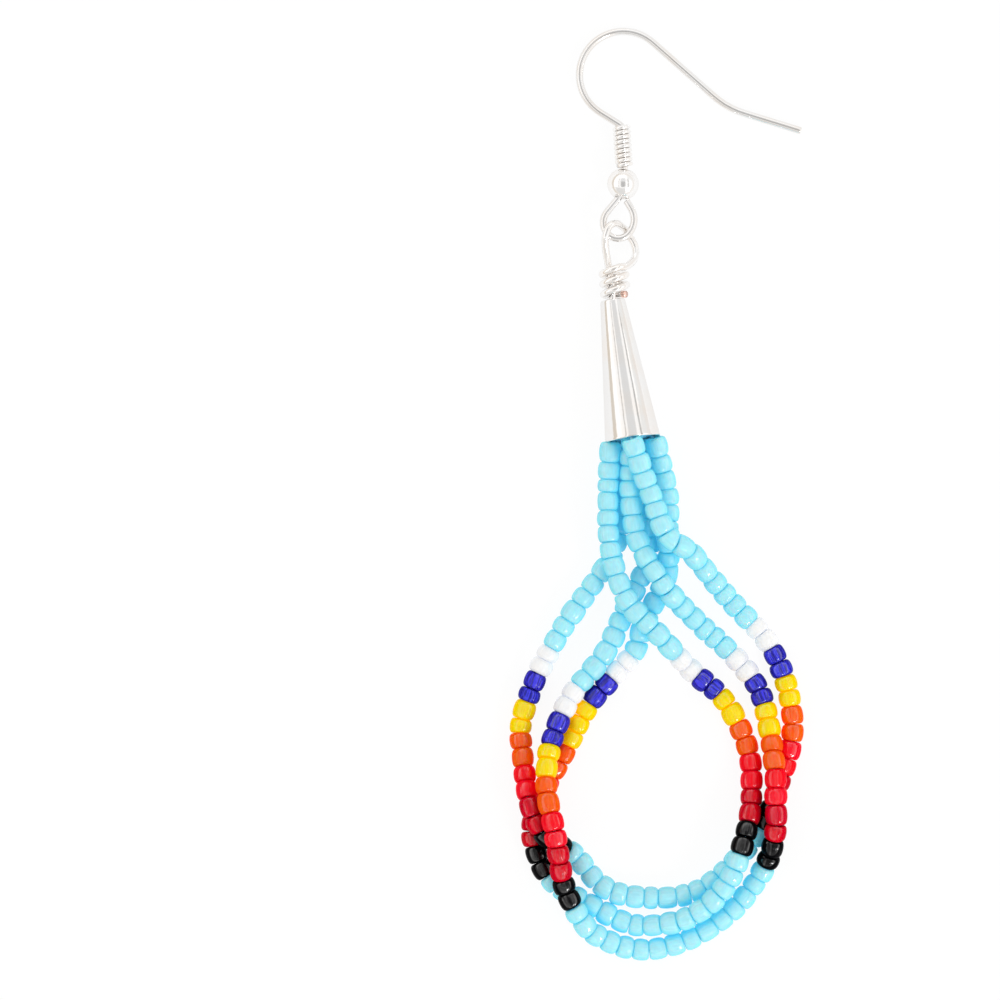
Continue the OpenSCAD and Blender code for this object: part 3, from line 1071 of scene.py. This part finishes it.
# What the plated metal mirrors as darker lines, as left, right, front and back edges in shares of
# the roof's height: the lens and its mount, two seams in the cloth, a warm wall to the left, and
# slightly greyer cloth in front and far to the right
TENT_PATCHES = (
    (-0.36, 0.34, 0.3, 0.9, "#EAEAEA"), (-0.3, 0.3, -0.45, 0.3, "#C0BFBE"),
    (0.72, 0.95, -0.6, 0.9, "#BCBBBA"), (-0.66, -0.56, -0.9, 0.9, "#C6C1BC"),
    (-60, -3.0, -60, 60, "#E3DACE"), (-2.0, 0.6, -6.0, -0.6, "#E6E5E3"),
    (0.8, 3.0, 0.9, 3.0, "#F9F9F8"),
)
# A softbox in front and to the right: place, side and radiance
KEY_PLACE = Vector((0.36, -0.44, 0.44))
KEY_SIDE = 0.14
KEY_RADIANCE = 18.0
# The table is white card on a light box, which keeps its shadows faint
TABLE_GLOW = 0.92


class EARRING_OT_stage(bpy.types.Operator):
    """Lays the white table, hangs the lights in a white tent and sets the camera above."""

    bl_idname = "earring.stage"
    bl_label = "Stage"

    def execute(self, context):
        scene = context.scene
        scene.view_settings.view_transform = "Standard"
        self.table()
        self.tent(scene)
        self.softbox("key", KEY_PLACE, KEY_SIDE, KEY_RADIANCE)
        lens = bpy.data.cameras.new("view")
        lens.sensor_width = 36
        lens.lens = lens.sensor_width * VIEW_DISTANCE / VIEW_WIDTH
        lens.clip_end = 10
        camera = bpy.data.objects.new("view", lens)
        camera.location = VIEW_CENTRE + Vector((0, 0, VIEW_DISTANCE))
        scene.collection.objects.link(camera)
        scene.camera = camera
        return {"FINISHED"}

    def table(self):
        """The white table top, far wider than the view."""
        shape = bmesh.new()
        bmesh.ops.create_grid(shape, x_segments=4, y_segments=4, size=TABLE_HALF)
        mesh = bpy.data.meshes.new("table_top")
        shape.to_mesh(mesh)
        shape.free()
        mesh.materials.append(shared("white_card", white_card))
        table = bpy.data.objects.new("table_top", mesh)
        bpy.context.scene.collection.objects.link(table)

    def softbox(self, name, at, side, radiance):
        """An even square of light turned to the earring, which the camera itself doesn't see."""
        light = bpy.data.lights.new(name, "AREA")
        light.shape = "SQUARE"
        light.size = side
        light.energy = radiance * math.pi * side**2
        lamp = bpy.data.objects.new(name, light)
        lamp.location = at
        lamp.rotation_euler = (-at).to_track_quat("-Z", "Y").to_euler()
        lamp.visible_camera = False
        bpy.context.scene.collection.objects.link(lamp)

    def tent(self, scene):
        """The tent's white cloth, with the dark of the lens overhead and the seams beside it."""
        world = bpy.data.worlds.new("light_tent")
        scene.world = world
        world.use_nodes = True
        tree = world.node_tree
        tree.nodes.clear()
        output = add(tree, "ShaderNodeOutputWorld")
        direction = add(tree, "ShaderNodeTexCoord").outputs["Generated"]
        height = add(tree, "ShaderNodeSeparateXYZ", {0: direction}).outputs["Z"]
        # At the horizon the roof is endlessly far away, so it is read from a little higher
        above = add(
            tree, "ShaderNodeMath", {0: height, 1: TENT_LOWEST}, operation="MAXIMUM"
        ).outputs[0]
        on_roof = add(
            tree, "ShaderNodeVectorMath", {0: direction, 1: above}, operation="DIVIDE"
        ).outputs["Vector"]
        spot = add(tree, "ShaderNodeSeparateXYZ", {0: on_roof})
        cloth = ramp(tree, height, TENT_BANDS)
        for left, right, front, back, hex_colour in TENT_PATCHES:
            across, along = [
                add(
                    tree, "ShaderNodeMath",
                    {0: spot.outputs[axis], 1: (low + high) / 2, 2: (high - low) / 2},
                    operation="COMPARE",
                ).outputs[0]
                for axis, low, high in (("X", left, right), ("Y", front, back))
            ]
            inside = add(tree, "ShaderNodeMath", {0: across, 1: along}, operation="MULTIPLY")
            patched = add(
                tree, "ShaderNodeMix",
                {0: inside.outputs[0], 6: cloth, 7: linear(hex_colour)}, data_type="RGBA",
            )
            cloth = patched.outputs[2]
        light = add(tree, "ShaderNodeBackground", {"Color": cloth, "Strength": 1.0})
        tree.links.new(light.outputs[0], output.inputs["Surface"])


PIECE_OPERATORS = (
    EARRING_OT_hook,
    EARRING_OT_coil,
    EARRING_OT_ball,
    EARRING_OT_drop,
    EARRING_OT_cone,
    EARRING_OT_tie,
    EARRING_OT_loops,
    EARRING_OT_stage,
)


class EARRING_PT_sidebar(bpy.types.Panel):
    """The earring's pieces, sizes and colours."""

    bl_label = "Beaded earring"
    bl_idname = "EARRING_PT_sidebar"
    bl_space_type = "VIEW_3D"
    bl_region_type = "UI"
    bl_category = "Earring"

    def draw(self, context):
        """A button for each piece, then the sizes and the colours."""
        for operator in PIECE_OPERATORS:
            self.layout.operator(operator.bl_idname)
        for group in (context.scene.earring_sizes, context.scene.earring_colours):
            box = self.layout.box()
            for key in group.__annotations__:
                box.prop(group, key)


CLASSES = (EarringSizes, EarringColours, *PIECE_OPERATORS, EARRING_PT_sidebar)


def register():
    """Makes the operators, the panel and the settings known to Blender."""
    for cls in CLASSES:
        bpy.utils.register_class(cls)
    bpy.types.Scene.earring_sizes = bpy.props.PointerProperty(type=EarringSizes)
    bpy.types.Scene.earring_colours = bpy.props.PointerProperty(type=EarringColours)


def unregister():
    """Takes them away again."""
    del bpy.types.Scene.earring_colours
    del bpy.types.Scene.earring_sizes
    for cls in reversed(CLASSES):
        bpy.utils.unregister_class(cls)


def main():
    """Builds the earring and its stage."""
    register()
    bpy.ops.earring.hook()
    bpy.ops.earring.coil()
    bpy.ops.earring.ball()
    bpy.ops.earring.drop()
    bpy.ops.earring.cone()
    bpy.ops.earring.tie()
    bpy.ops.earring.loops()
    bpy.ops.earring.stage()


if __name__ == "__main__":
    main()
